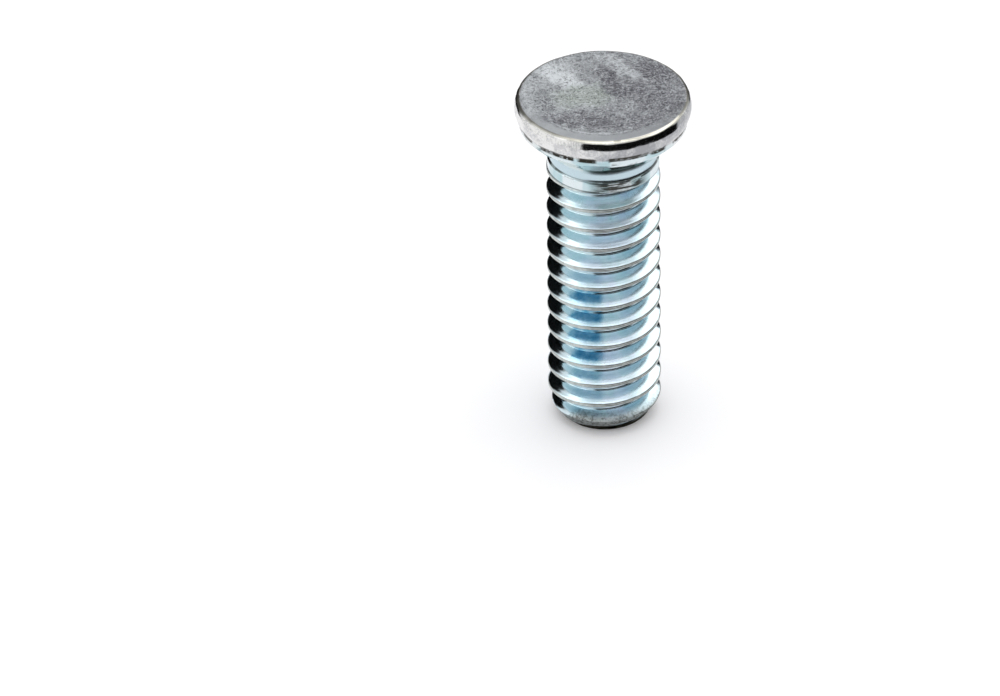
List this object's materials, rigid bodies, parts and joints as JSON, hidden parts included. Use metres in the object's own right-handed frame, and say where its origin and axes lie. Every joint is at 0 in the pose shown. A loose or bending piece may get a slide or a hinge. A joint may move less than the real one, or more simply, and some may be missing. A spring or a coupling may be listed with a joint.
{
  "type": "self-clinching stud",
  "caption": "Headed steel stud with a right-hand thread, a groove under the head and seven ribs that clinch into sheet metal.",
  "frame": {"origin": "centre of the flat tip, on the axis; the stud stands on this face", "axes": "+Z along the axis from the tip to the head; -Y is the front, and the middle of one rib is 9 degrees from it, towards -X"},
  "size_m": [0.0096, 0.0096, 0.0203],
  "materials": {
    "zinc_plated_steel": "bright zinc plating with a faint blue tint, mottled on the pressed top of the head"
  },
  "bodies": {
    "root": {"stud": "zinc_plated_steel"}
  },
  "joints": []
}
